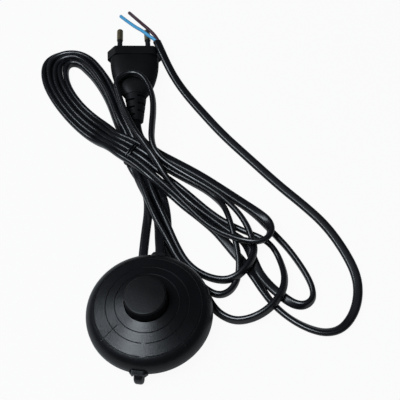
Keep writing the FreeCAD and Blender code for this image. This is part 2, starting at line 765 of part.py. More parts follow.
# Cord routes, with the flat cord as a round tube of about the same section
cord = size("cord_tube")
lie = cord / 2 + size("cord_clear")
inlet = size("part_line")
hood_turn = size(f"{HOOD_REACH} + hood_clear")
sheath_end = size(f"{CLAMP_PLACE} - clamp_width / 2 - sheath_stub")
plug_turn = Rotation(Vector(0, 0, 1), size("plug_turn")).multiply(Rotation(Vector(0, 1, 0), size("plug_roll")))
plug_rest = size("plug_height / 2 * cos(plug_roll) + plug_flat / 2 * sin(plug_roll)")
plug_place = Placement(Vector(size("plug_place_x"), size("plug_place_y"), plug_rest), plug_turn)
relief_end = plug_place.multVec(Vector(0, -size("plug_body_length + plug_relief_length"), 0))
relief_way = plug_turn.multVec(Vector(0, -1, 0))

ROUTES = {
    # Switch to hank: out at the front, folded back below the base
    "front_lead": [(0, -sheath_end, inlet), (0, -hood_turn, inlet), (0, -hood_turn, lie), (-2.5, -25, lie),
                   (-6, -2, lie), (-9, 22, lie), (-10.6, 40, lie), (-11.8, 56, lie), (-12.9, 67, lie),
                   (-15.6, 77, 2.6), (-20, 86.5, 4.5), (-22.5, 93, 5.5)],
    # Switch to hank: out at the back and down to the floor
    "back_lead": [(0, sheath_end, inlet), (0, 37.4, inlet), (-2.6, 48, 7), (-5, 59, 3.6), (-8, 69.5, 2.6),
                  (-12, 79, 3.6), (-15.5, 87.5, 5)],
    # Plug to hank
    "plug_lead": [tuple(relief_end), tuple(relief_end + relief_way * size("relief_run")), (-20.5, 111.5, 6),
                  (-11.5, 105, 5.5), (-2, 99.5, 5)],
    # Turn over the plug's body
    "loose_turn_top": [(-20.7, 107, 14), (-23.7, 110, 16.8), (-26.8, 113.4, 17), (-32, 120.4, 16.4),
                       (-37.3, 129, 16), (-41.8, 136.6, 16.4), (-45.5, 145, 17.2), (-47, 150.5, 17.6),
                       (-45, 155.5, 17.8), (-41, 159, 17.9), (-36, 160.2, 17.9), (-31, 158, 17.9),
                       (-27, 153.3, 17.7), (-24.2, 147.2, 17.4), (-21.7, 139.8, 16.9), (-20.3, 131, 16.3),
                       (-19.3, 121, 15.2), (-18, 111, 13.4), (-16.8, 105, 11)],
    # Turns that fall out of the hank's right end
    "loose_turn_a": [(-7.5, 83, 7.5), (-4, 72.5, 6.2), (1.2, 62, 6.3), (6.4, 54.2, 6.3), (12.2, 46.2, 4.6),
                     (18.5, 38.3, lie), (27.3, 31.5, lie), (35.5, 29, 4.6), (42.5, 31.5, 7.8), (47.5, 38, 8.9),
                     (50.5, 46.5, 8.5), (51, 55, 7.5)],
    "loose_turn_b": [(1.5, 77, 5), (2.5, 69, 2.8), (4.6, 57, lie), (8.6, 46, lie), (15, 36, lie),
                     (23.5, 27.8, lie), (31.8, 22.3, lie), (38.5, 23.3, lie), (42.3, 28.8, 2.3), (43.8, 36.8, 4.7),
                     (42.8, 44.5, 6.3), (40.5, 54, 5.8)],
    "loose_turn_c": [(-4, 80.5, 3.4), (-2, 70.5, 2.4), (0.2, 57, lie), (3.6, 44.5, lie), (9.8, 33, lie),
                     (19, 25.5, lie), (28, 19.5, lie), (32.8, 12, lie), (38.5, 7, lie), (46.5, 4.2, 2.6),
                     (55, 5.8, 4.6), (62.5, 10, 6.2), (68, 16, 6.8), (71.3, 24, 6.8), (71.3, 33.5, 4.8),
                     (68, 43, 3), (63.2, 51.5, 3), (58, 58, 4.2)],
    "loose_turn_d": [(58.5, 64.5, 4.5), (64.5, 59, 2.6), (71, 52.5, lie), (77.5, 44.5, lie), (83.5, 36, lie),
                     (87.5, 28, lie), (88, 21.5, lie), (84, 17.3, lie), (78, 17.4, lie), (70.8, 21.9, lie),
                     (64.5, 26.8, lie), (59.8, 31.4, lie), (56, 36, lie), (52.6, 42.5, lie), (50.2, 49.5, 2.1),
                     (48.5, 56, 2.8)],
    # Long lead to the lamp, stripped at its end, which lies on the plug's corner
    "lamp_lead": [(24, 60, 3), (27.2, 57.4, 2.4), (33.2, 51.4, lie), (39.2, 45.6, lie), (45, 40.8, lie),
                  (49.6, 36.8, lie), (54, 31.8, lie), (59.3, 24.8, lie), (66, 16.4, lie), (76, 8.8, lie), (87, 4, lie),
                  (96.5, 2.6, lie), (104.5, 6, lie), (110, 15, lie), (112.3, 27, lie), (110.5, 39.5, lie),
                  (103, 54.5, lie), (91.5, 70, lie), (78, 82, lie), (62, 94.5, lie), (43, 111.3, lie),
                  (24.5, 130, lie), (6.5, 150.5, lie), (-5.3, 160.5, 2.4), (-13.7, 169.8, 5.4), (-19.6, 178.2, 9.2),
                  (-23.6, 185.2, 11), (-27.2, 191.8, 11.2)],
}
for name, points in ROUTES.items():
    nodes.append(feature(name, tube(name, points, cord)))

# Cores of the stripped end, side by side where they leave the sheath
core = size("core_diameter")
tip = Vector(*ROUTES["lamp_lead"][-1])
way = (tip - Vector(*ROUTES["lamp_lead"][-2])).normalize()
aside = Vector(-way.y, way.x, 0) * (core / 2)
CORE_ENDS = {
    "blue_core": (1, [(-33.2, 195.4, 12.2), (-38.2, 199.6, 12), (-46.4, 207.7, 6.8), (-57.9, 220.2, 1.3)]),
    "brown_core": (-1, [(-31, 198.4, 11.6), (-35.4, 202.1, 12), (-39.2, 205.4, 11.8), (-43.7, 211.1, 9),
                        (-48.9, 218.8, 4), (-52.6, 223.7, 1.3)]),
}
for name, (side, points) in CORE_ENDS.items():
    start = tip + aside * side
    nodes.append(feature(name, tube(name, [tuple(start), tuple(start + way * size("stripped_run"))] + points, core)))

# Cores inside the housing, from each sheath to its terminal
terminal_face = size("terminal_size / 2")
terminal_x = size("terminal_radius")
neutral_x = size(NEUTRAL_PLACE)
neutral_face = size("neutral_length / 2")
core_x = core / 2
bend = sheath_end - size("core_run")
straight = size("terminal_run")
front_live = [(core_x, -sheath_end, inlet), (core_x, -bend, inlet), (6.5, 4.5 - bend, inlet), (12.5, 8 - bend, inlet),
              (terminal_x, -terminal_face - straight, inlet), (terminal_x, -terminal_face, inlet)]
back_live = [(core_x, sheath_end, inlet), (core_x, bend - 1, inlet), (-5, bend - 5.2, inlet),
             (-11.5, bend - 8, inlet), (-terminal_x, terminal_face + straight, inlet),
             (-terminal_x, terminal_face, inlet)]
neutrals = [[(-core_x, end * sheath_end, inlet), (-core_x, end * bend, inlet), (-8, end * (bend - 3), inlet),
             (-18, end * (bend - 3.5), inlet), (neutral_x, end * (neutral_face + straight), inlet),
             (neutral_x, end * neutral_face, inlet)]
            for end in (-1, 1)]
nodes.append(feature("live_cores", Part.makeCompound([tube("live core", route, core)
                                                      for route in (front_live, back_live)])))
nodes.append(feature("neutral_cores", Part.makeCompound([tube("neutral core", route, core)
                                                         for route in neutrals])))

# Plug: flat six-sided flange, body that draws in to the strain relief, and slots from both sides of it
plug_half = size("plug_width / 2")
plug_rise = size("plug_height / 2")
flat_half = size("plug_flat / 2")
flange_points = [(-plug_half, 0), (-flat_half, plug_rise), (flat_half, plug_rise),
                 (plug_half, 0), (flat_half, -plug_rise), (-flat_half, -plug_rise), (-plug_half, 0)]
flange = Part.Face(Part.makePolygon([Vector(x, 0, z) for x, z in flange_points]))
flange = flange.extrude(Vector(0, -size("plug_flange"), 0))
corners = [edge for edge in flange.Edges if edge.BoundBox.YLength > size("plug_flange / 2")]
flange = flange.makeFillet(size("plug_edge"), corners)

# Sections of the plug's body: share of the way to its end, of its width and of its height, and squareness
BODY_SECTIONS = [(0, 1, 1, 3), (0.57, 0.87, 0.95, 2.8), (0.85, 0.66, 0.84, 2.4)]
SECTION_POINTS = 16


def plug_section(y, width, height, squareness):
    """Closed section of the plug's body, a superellipse that is rounder for a squareness near 2."""
    points = []
    for step in range(SECTION_POINTS):
        angle = 2 * math.pi * step / SECTION_POINTS
        across = math.copysign(abs(math.cos(angle)) ** (2 / squareness), math.cos(angle))
        rise = math.copysign(abs(math.sin(angle)) ** (2 / squareness), math.sin(angle))
        points.append(Vector(across * width / 2, y, rise * height / 2))
    curve = Part.BSplineCurve()
    curve.interpolate(points, PeriodicFlag=True)
    return Part.Wire([curve.toShape()])


flange_back = -size("plug_flange")
body_end = -size("plug_body_length")
relief_width = size("plug_relief_width")
relief_height = size("plug_relief_height")
body_width = size("plug_body_width")
body_height = size("plug_height - plug_body_step")
shoulder = size("2 * plug_relief_shoulder")
body_run = body_end - flange_back
sections = [plug_section(flange_back + body_run * share, body_width * across, body_height * rise, squareness)
            for share, across, rise, squareness in BODY_SECTIONS]
sections.append(plug_section(body_end, relief_width + shoulder, relief_height + shoulder, 2))
body = Part.makeLoft(sections, True)
relief_stop = plug_section(body_end - size("plug_relief_length"), size("plug_relief_end_width"),
                           size("plug_relief_end_height"), 2)
relief = Part.makeLoft([plug_section(body_end, relief_width, relief_height, 2), relief_stop], True)
slot_width = size("plug_slot_width")
pitch = size("plug_slot_pitch")
web = size("plug_slot_web")
for number in range(int(size("plug_slot_count"))):
    slot_y = body_end - size("plug_slot_first") - pitch * number / 2
    slot = Part.makeBox(relief_width, slot_width, relief_height, Vector(0, slot_y - slot_width / 2, -relief_height / 2))
    slot.translate(Vector(-web - relief_width if number % 2 else web, 0, 0))
    relief = relief.cut(slot)
plug = flange.fuse([body, relief])

pins = []
sleeves = []
for side in (-1, 1):
    lean = Placement(Vector(side * size("pin_spacing") / 2, 0, 0), Rotation(Vector(0, 0, 1), side * size("pin_lean")))
    forward = Vector(0, 1, 0)
    sleeve_root = Vector(0, -size("sleeve_seat"), 0)
    sleeve_length = size("sleeve_length + sleeve_seat")
    tip_length = size("pin_length - sleeve_length")
    bare = Part.makeCylinder(size("pin_radius"), tip_length, Vector(0, size("sleeve_length"), 0), forward)
    nose = max(bare.Edges, key=lambda edge: edge.CenterOfMass.y)
    bare = bare.makeFillet(size("pin_nose"), [nose])
    inner = Part.makeCylinder(size("pin_core_radius"), size("sleeve_length + pin_root"),
                              Vector(0, -size("pin_root"), 0), forward)
    sleeve = Part.makeCylinder(size("sleeve_radius"), sleeve_length, sleeve_root, forward)
    seat = Part.makeCylinder(size("sleeve_radius"), size("2 * sleeve_seat"), sleeve_root, forward)
    for shape in (bare, inner, sleeve, seat):
        shape.Placement = lean
    plug = plug.cut([inner, seat])
    pins.append(bare.fuse(inner).removeSplitter())
    sleeves.append(sleeve.cut(inner))
nodes.append(feature("plug_body", plug.removeSplitter(), plug_place))
nodes.append(feature("plug_pins", Part.makeCompound(pins), plug_place))
nodes.append(feature("pin_sleeves", Part.makeCompound(sleeves), plug_place))

# Hank: the tied turns as one solid, a long eye on the left, a waist, and the runs to the right
EYE_OUTSIDE = [(-34, 102), (-46, 109.5), (-63, 119.5), (-77, 129.5), (-89, 141), (-97, 153), (-101, 165),
               (-100, 176), (-92, 182.5), (-80, 184), (-70, 180.5), (-61, 171), (-53, 159), (-44, 143), (-36, 128),
               (-29.5, 115), (-29, 106)]
EYE_INSIDE = [(-79, 176), (-83.5, 169), (-81.5, 160.5), (-76, 151), (-67, 142), (-57, 135), (-50, 131.5), (-48.6, 135),
              (-51, 143), (-57, 154), (-65, 165), (-72, 173)]
RUNS = [(-20, 107.5), (-7, 103), (15, 93), (41, 81), (57, 72.5), (63.5, 64), (60.5, 54.5), (52, 49.5), (42, 49.5),
        (31, 54), (12, 66.5), (-8, 80), (-20, 90.5), (-26, 98.5)]
hank_low = Vector(0, 0, size("hank_clear"))
hank_up = Vector(0, 0, size("hank_height"))


def smooth_loop(points):
    """Closed smooth wire through points of the plan."""
    curve = Part.BSplineCurve()
    curve.interpolate([Vector(x, y, 0) + hank_low for x, y in points], PeriodicFlag=True)
    return Part.Wire([curve.toShape()])


def rounded_slab(wires):
    """Slab of the hank's height on a plan, with its edges rounded."""
    slab = Part.Face(wires, "Part::FaceMakerBullseye").extrude(hank_up)
    flat_edges = [edge for edge in slab.Edges if edge.BoundBox.ZLength < 0.01]
    return slab.makeFillet(size("hank_edge"), flat_edges)


waist_middle = Vector(size("waist_place_x"), size("waist_place_y"), size("waist_radius + tie_wire + hank_clear"))
waist_way = Rotation(Vector(0, 0, 1), size("waist_turn")).multVec(Vector(1, 0, 0))
waist_start = waist_middle - waist_way * size("waist_length / 2")
waist = Part.makeCylinder(size("waist_radius"), size("waist_length"), waist_start, waist_way)
hank = waist.fuse([rounded_slab([smooth_loop(EYE_OUTSIDE), smooth_loop(EYE_INSIDE)]),
                   rounded_slab([smooth_loop(RUNS)])])
nodes.append(feature("cord_hank", hank))
tie = Part.makeTorus(size("waist_radius + tie_wire / 2"), size("tie_wire / 2"), waist_middle, waist_way)
nodes.append(feature("cord_tie", tie))

# Every object and shape is checked before anything is written
doc.recompute()
for item in doc.Objects:
    if "Invalid" in item.State or "Error" in item.State:
        raise RuntimeError(f"{item.Name} failed: {item.State}")
for node in nodes:
    if node.Shape.isNull() or not node.Shape.isValid():
        raise RuntimeError(f"{node.Label} has no valid shape")
os.makedirs("parts", exist_ok=True)
for node in nodes:
    node.Shape.exportStep(f"parts/{node.Label}.step")
    print(node.Label, len(node.Shape.Solids), "solids", round(node.Shape.Volume, 1), "mm3")
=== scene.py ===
import bmesh
import bpy
import math
from mathutils import Matrix, Vector


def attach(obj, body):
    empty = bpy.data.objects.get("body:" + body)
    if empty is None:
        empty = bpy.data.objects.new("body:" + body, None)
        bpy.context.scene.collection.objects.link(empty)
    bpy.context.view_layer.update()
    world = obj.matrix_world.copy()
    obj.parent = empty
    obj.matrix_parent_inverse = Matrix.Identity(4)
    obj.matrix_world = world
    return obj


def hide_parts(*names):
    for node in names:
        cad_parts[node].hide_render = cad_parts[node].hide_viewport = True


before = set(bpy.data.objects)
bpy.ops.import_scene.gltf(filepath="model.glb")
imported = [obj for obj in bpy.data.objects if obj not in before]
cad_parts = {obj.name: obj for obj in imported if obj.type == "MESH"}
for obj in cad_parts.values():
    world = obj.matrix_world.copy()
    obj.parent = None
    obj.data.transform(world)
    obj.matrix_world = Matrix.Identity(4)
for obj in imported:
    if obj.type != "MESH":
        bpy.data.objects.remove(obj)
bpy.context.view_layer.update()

# Base plate: the tapered lower half of the switch, injection moulded in black ABS with a fine eroded skin.
# Four soft rubber feet are pressed into its seats and two zinc-plated steel screws hold the cover to it.
MM = 0.001


def linear(code):
    """Linear colour of an sRGB hex code."""
    shares = [int(code[place:place + 2], 16) / 255 for place in (1, 3, 5)]
    return [share / 12.92 if share <= 0.04045 else ((share + 0.055) / 1.055) ** 2.4 for share in shares] + [1]


def add(tree, kind, settings, inputs):
    """Adds a node, sets its settings, and gives each input a value or links it to another node's output."""
    node = tree.nodes.new(kind)
    for name, value in settings.items():
        setattr(node, name, value)
    for name, value in inputs.items():
        if isinstance(value, bpy.types.NodeSocket):
            tree.links.new(value, node.inputs[name])
        else:
            node.inputs[name].default_value = value
    return node


def surface(name, tones, gloss, patch, grain, relief, detail, cut, values):
    """Material of two close tones in soft patches, with a gloss that follows them between two roughness
    values, and a fine relief that stands up or is cut in. Patch, grain and relief are real sizes in mm,
    detail is the levels of the patches' noise, two more than the relief's, and values go to the shader as
    they are."""
    material = bpy.data.materials.new(name)
    material.use_nodes = True
    tree = material.node_tree
    shader = tree.nodes["Principled BSDF"]
    place = add(tree, "ShaderNodeTexCoord", {}, {}).outputs["Object"]
    patches = add(tree, "ShaderNodeTexNoise", {},
                  {"Vector": place, "Scale": 1 / (patch * MM), "Detail": detail}).outputs["Fac"]
    colour = add(tree, "ShaderNodeMix", {"data_type": "RGBA"},
                 {0: patches, 6: linear(tones[0]), 7: linear(tones[1])})
    rough = add(tree, "ShaderNodeMapRange", {}, {"Value": patches, "To Min": gloss[0], "To Max": gloss[1]})
    skin = add(tree, "ShaderNodeTexNoise", {},
               {"Vector": place, "Scale": 1 / (grain * MM), "Detail": detail - 2}).outputs["Fac"]
    bump = add(tree, "ShaderNodeBump", {"invert": cut}, {"Height": skin, "Distance": relief * MM})
    tree.links.new(colour.outputs[2], shader.inputs["Base Color"])
    tree.links.new(rough.outputs["Result"], shader.inputs["Roughness"])
    tree.links.new(bump.outputs["Normal"], shader.inputs["Normal"])
    for entry, value in values.items():
        shader.inputs[entry].default_value = value
    return material


def moulded(name, dark, light, gloss, patch, grain, relief, ior=1.53, shine=0.35):
    """Moulded plastic or rubber with a grained skin, whose grain is drawn coarser than the real one of about
    0.1 mm, so that it shows; shine is the share of the mirror reflection that the skin keeps, 0.5 for a clean
    smooth one."""
    return surface(name, (dark, light), gloss, patch, grain, relief, detail=4, cut=False,
                   values={"IOR": ior, "Specular IOR Level": shine})


def plated(name, dull, bright, gloss, patch, scratch):
    """Metal, tarnished in patches from a dull to a bright tone, with fine scratches of a size in mm, drawn
    coarser than real ones, so that they show."""
    return surface(name, (dull, bright), gloss, patch, scratch, relief=0.01, detail=5, cut=True,
                   values={"Metallic": 1})


def dress(material, *names):
    """Gives CAD nodes their material."""
    for name in names:
        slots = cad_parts[name].data.materials
        slots.clear()
        slots.append(material)


# Satin black with a faint blue cast; the eroded grain breaks the highlight into a soft sheen
dress(moulded("black_abs", "#0d0e10", "#15161a", gloss=(0.42, 0.52), patch=14, grain=0.7, relief=0.035),
      "base_plate")
# Matt rubber, greyer where it has picked up dust
dress(moulded("foot_rubber", "#1a1a1a", "#2c2b2a", gloss=(0.7, 0.85), patch=3, grain=0.5, relief=0.05,
              ior=1.52), "rubber_feet")
# Zinc plate: cool bright steel that dulls in patches
ZINC = plated("zinc_plated_steel", "#8f959b", "#c3c7ca", gloss=(0.25, 0.45), patch=2.5, scratch=0.3)
dress(ZINC, "cover_screws")

# Works on the base: a nylon ratchet rotor and its plunger, a steel axle and spring, brass contacts and
# terminals, and two vulcanised-fibre bars that clamp the cords; each stands in the base's posts and seats.
# Natural nylon: milky and slightly waxy
dress(moulded("natural_nylon", "#d5cfbf", "#e6e1d4", gloss=(0.4, 0.55), patch=6, grain=0.8, relief=0.02),
      "ratchet_rotor", "plunger")
dress(ZINC, "rotor_axle", "clamp_screws", "terminal_screws")
# Spring wire: dark drawn steel
dress(plated("spring_steel", "#5d6063", "#85898c", gloss=(0.3, 0.4), patch=1.5, scratch=0.2),
      "return_spring")
# Brass: warm yellow, browner where it was handled
dress(plated("contact_brass", "#a07a34", "#cfa553", gloss=(0.25, 0.42), patch=3, scratch=0.3),
      "contact_bridge", "contact_left", "contact_right", "neutral_link")
# Vulcanised fibre: red-brown, matt, with a fibrous fleck
dress(moulded("clamp_fibre", "#6d2f22", "#8a4431", gloss=(0.6, 0.75), patch=1.2, grain=0.4, relief=0.04),
      "clamp_front", "clamp_back")
# Core insulation: soft coloured PVC with the slight gloss of an extruded skin
BLUE_PVC = moulded("blue_pvc", "#3f9ad0", "#62b8e4", gloss=(0.32, 0.45), patch=4, grain=0.6, relief=0.015)
BROWN_PVC = moulded("brown_pvc", "#3a2430", "#50323a", gloss=(0.32, 0.45), patch=4, grain=0.6, relief=0.015)
dress(BROWN_PVC, "live_cores")
dress(BLUE_PVC, "neutral_cores")

# Top cover: a conical shell with a rounded rim, three ring grooves, two radial grooves and a hood over each
# cord, moulded in the same ABS from a fresh-eroded tool; it drops over the base's lip.
# Near-black satin with a blue cast; its fresh grain spreads the highlight over the cone
dress(moulded("cover_abs", "#08090b", "#0f1114", gloss=(0.29, 0.38), patch=16, grain=0.7, relief=0.08),
      "top_cover")

# Push button: a capped sleeve that slides in the cover's collar on the return spring, moulded in ABS with a
# slightly coarser eroded skin than the cover's.
# The same near-black, dulled by shoes
dress(moulded("button_abs", "#08080a", "#0f1012", gloss=(0.36, 0.46), patch=7, grain=0.8, relief=0.08,
              shine=0.22), "push_button")

# Cords: two lengths of flat twin flex, 5.4 by 3.3 mm in black PVC, one from the plug to the switch and one
# from the switch to the lamp; both are wound into one hank, whose right-hand turns have fallen loose.
CORD_WIDTH = 5.4
CORD_THICK = 3.3
# Height of a strand's middle: on edge on the floor, flat on the floor, and in the switch's inlets
HALF_EDGE = 2.8
HALF_FLAT = 1.9
INLET = 9.1
# Turn of a strand that lies flat, in degrees; one on edge has none
FLAT = 90
# At the tie the strands from the switch lie flat in two layers below, and the runs cross them on edge above;
# each is straight there for TIE_RUN either way
TIE_PLACE = Vector((-27.5, 104.5, 0))
RUN_WAY = Vector((0.883, -0.469, 0))
RUN_ACROSS = Vector((0.469, 0.883, 0))
LEG_WAY = Vector((-0.48, 0.877, 0))
LEG_ACROSS = Vector((0.877, 0.48, 0))
TIE_RUN = 6
LOWER_LEGS = 3
UPPER_LEGS = 6.3
RUNS_HEIGHT = 11
# Height of the turns that lie on others along the eye's upper side
UPPER_LAYER = 7.9
# Outer and inner edge of the hank's eye, from the tie along its lower side, round the left end and back
EYE_OUTER = [(-46, 109), (-55.5, 114.5), (-66, 121.3), (-77.5, 131.5), (-88, 143), (-97, 156),
             (-101.2, 168.6), (-99.5, 177.5), (-91, 183.2), (-79, 184), (-69, 179.7), (-61, 171.5),
             (-52.5, 161), (-43.5, 145), (-36, 130), (-29.5, 118)]
EYE_INNER = [(-39, 117.5), (-47, 126.5), (-57, 134), (-67, 142), (-75.5, 151.5), (-81.5, 161),
             (-84, 169.5), (-83.5, 173.8), (-80.5, 175.7), (-76, 174.2), (-70.5, 168.8), (-65.5, 164),
             (-59, 156), (-52, 145.5), (-45, 131), (-37.5, 120)]
# The two points that the left end lies between; there a strand goes over to its place in the other side
EYE_TIP = (5, 11)
# Share of the rise to the runs at the first two points: the outermost strand's, and the innermost's lead
EYE_RISE = ((0.55, 0.4), (0, 0.3))


def eye_turn(leg_place, upper_share, lower_share, run_place):
    """Points of one turn of the eye, from under the tie along its upper side, round the left end and back
    over the tie. A leg's place is its distance across and its layer; a share is how far in a strand lies,
    from 0 on the eye's outer edge to 1 on its inner one."""
    across, layer = leg_place
    middle = TIE_PLACE + LEG_ACROSS * across
    points = [(*(middle + LEG_WAY * along).xy, layer, FLAT) for along in (-TIE_RUN, TIE_RUN)]
    upper_height = HALF_EDGE if layer == LOWER_LEGS else UPPER_LAYER
    last = len(EYE_OUTER) - 1
    tip_first, tip_last = EYE_TIP
    for number in range(last, -1, -1):
        way = min(max((tip_last - number) / (tip_last - tip_first), 0), 1)
        share = upper_share + (lower_share - upper_share) * way
        height = upper_height + (HALF_EDGE - upper_height) * way
        spot = Vector(EYE_OUTER[number]).lerp(Vector(EYE_INNER[number]), share)
        turn = 0
        if number == last:
            height = (height + layer) / 2
            turn = FLAT / 2
        elif number < len(EYE_RISE):
            outermost, lead = EYE_RISE[number]
            height += (RUNS_HEIGHT - HALF_EDGE) * (outermost + lead * share)
        points.append((spot.x, spot.y, height, turn))
    middle = TIE_PLACE + RUN_ACROSS * run_place
    return points + [(*(middle + RUN_WAY * along).xy, RUNS_HEIGHT, 0) for along in (-TIE_RUN, TIE_RUN)]


def flat_flex(name, points, width, thick, material):
    """Flex as a curve of one smooth spline; each point has its place in mm and the turn of its flat side."""
    curve = bpy.data.curves.new(name, "CURVE")
    curve.dimensions = "3D"
    curve.twist_mode = "MINIMUM"
    curve.fill_mode = "FULL"
    curve.use_fill_caps = True
    curve.bevel_depth = thick / 2 * MM
    curve.extrude = (width - thick) / 2 * MM
    curve.bevel_resolution = 4
    curve.resolution_u = 8
    spline = curve.splines.new("NURBS")
    spline.points.add(len(points) - 1)
    for point, (x, y, z, turn) in zip(spline.points, points):
        point.co = (x * MM, y * MM, z * MM, 1)
        point.tilt = math.radians(turn)
    spline.order_u = 3
    spline.use_endpoint_u = True
    curve.materials.append(material)
    piece = bpy.data.objects.new(name, curve)
    bpy.context.scene.collection.objects.link(piece)
    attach(piece, "housing")
    return piece


# Black PVC sheath: smooth and slightly glossy, with faint waves where it was coiled
SHEATH = moulded("black_pvc", "#0a0b0d", "#121418", gloss=(0.24, 0.32), patch=12, grain=5, relief=0.02,
                 shine=0.6)

supply_points = [
    # Out of the front hood, folded back under the base, and up to the tie
    (0, -22, INLET, FLAT), (0, -32.4, INLET, FLAT), (0, -35.4, INLET, FLAT), (0, -37.5, 7, FLAT),
    (0, -37.5, 4, FLAT), (-0.3, -35.4, HALF_FLAT, FLAT), (-0.8, -32.4, HALF_FLAT, FLAT),
    (-2.5, -22, HALF_FLAT, FLAT), (-6, -2, HALF_FLAT, FLAT), (-9.5, 22, HALF_FLAT, FLAT),
    (-11.4, 40, HALF_FLAT, FLAT), (-12.5, 56, HALF_FLAT, FLAT), (-13, 68, HALF_FLAT, FLAT),
    (-15, 79, HALF_FLAT, FLAT), (-20.5, 89, 2.2, FLAT),
    *eye_turn((-3.6, LOWER_LEGS), 0.9, 0.93, 6.6),
    # Along the back of the runs, round the right-hand loose turn and back along the runs
    (-8, 102.5, 6.5, 0), (4, 98, 3.4, 0), (14, 94, HALF_EDGE, 0), (39, 80.5, HALF_EDGE, 0),
    (50, 72.8, HALF_EDGE, 0), (58.5, 64.6, 3, 0), (64.5, 59, HALF_EDGE, 0), (71, 52.5, HALF_EDGE, 0),
    (77.5, 44.5, HALF_EDGE, 0), (83.5, 36, HALF_EDGE, 0), (87.5, 28, HALF_EDGE, 0), (88, 21.5, HALF_EDGE, 0),
    (84, 17.3, HALF_EDGE, 15), (78, 17.4, 2.6, 45), (70.8, 21.9, 2.2, 70), (64.5, 26.8, HALF_FLAT, FLAT),
    (59.8, 31.4, HALF_FLAT, FLAT), (56, 36, HALF_FLAT, 80), (52.6, 42.5, 2.2, 70), (49.5, 49, 2.4, 50),
    (46, 54, 2.7, 25), (41, 57.2, HALF_EDGE, 0), (34.5, 60.8, HALF_EDGE, 0), (26.5, 66.2, HALF_EDGE, 0),
    (16.4, 72.9, HALF_EDGE, 0), (7.2, 79.2, 3.8, 0), (-1, 85.4, 7.4, 0), (-7, 91.2, 11.4, 0),
    (-13, 98.6, 15, 0), (-18, 104, 16.8, 0),
    # Up over the plug's body and back
    (-22.4, 109.5, 17.4, 0), (-26, 113.4, 17.4, 0), (-30.8, 120.4, 17, 0), (-35.8, 129, 16.6, 0),
    (-40, 136.6, 16.7, 0), (-43.8, 145, 17.2, 0), (-46, 150, 17.6, 0), (-45, 154.6, 17.8, 0),
    (-41, 158.4, 17.9, 0), (-35.6, 159.8, 17.9, 0), (-30, 157.4, 17.9, 0), (-25.8, 152.2, 17.7, 0),
    (-22.8, 146.6, 17.4, 0), (-20.4, 139.8, 16.9, 0), (-19, 131, 16.5, 0), (-18.2, 121, 16.2, 0),
    (-17, 111.4, 16, 0), (-13.6, 104, 15, 0),
    # Along the top of the runs, round the smallest loose turn and back to the tie
    (-7, 98.6, 12, 0), (9.2, 91.3, 9, 0), (23.3, 84.3, 8.4, 0), (33.1, 77.3, 8.4, 0), (40.9, 70, 8.2, 0),
    (46.5, 62.7, 7.2, 0), (49.8, 56, 6.2, 0), (52.8, 48.4, 6.6, 0), (51.4, 38.5, 7.5, 0), (45, 29.4, 6.5, 0),
    (37, 26.8, 4.5, 0), (25.1, 29.8, HALF_EDGE, 0), (15, 36.4, HALF_EDGE, 0), (7.6, 46.5, 3.6, 0),
    (-1, 61.3, 6.6, 0), (-10.6, 77.2, 7, 0), (-17.8, 90, 7, 45),
    *eye_turn((3.4, UPPER_LEGS), 0.25, 0.3, -3.3),
    # Along the front of the runs, round their right end and back along the back to the plug's strain relief
    (-10, 88.3, 9.6, 0), (0.6, 80.4, 8.5, 0), (9.6, 72.7, 8, 0), (17.4, 65.9, 7.8, 0), (24.6, 60.2, 7.8, 0),
    (32, 55.8, 8.8, 0), (38, 53, 10, 0), (44.4, 50.8, 11, 0), (52.6, 49.6, 11.8, 0), (59, 52, 11.8, 0),
    (61.4, 57.8, 11.6, 15), (58.8, 64.4, 11, 40), (52, 70.2, 9.8, 60), (42.4, 76.6, 8.8, 68),
    (31.2, 83.8, 8.2, 68), (14.8, 93.8, 7.8, 68), (-2, 102, 7.8, 72), (-11.5, 106.8, 7.4, 80),
    (-20.5, 112.5, 7.6, FLAT), (-28, 119.5, 8.4, FLAT), (-30.4, 130.8, 8.6, FLAT),
]
supply_cord = flat_flex("supply_cord", supply_points, CORD_WIDTH, CORD_THICK, SHEATH)
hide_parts("front_lead", "plug_lead", "loose_turn_a", "loose_turn_d", "loose_turn_top",
            "cord_hank")

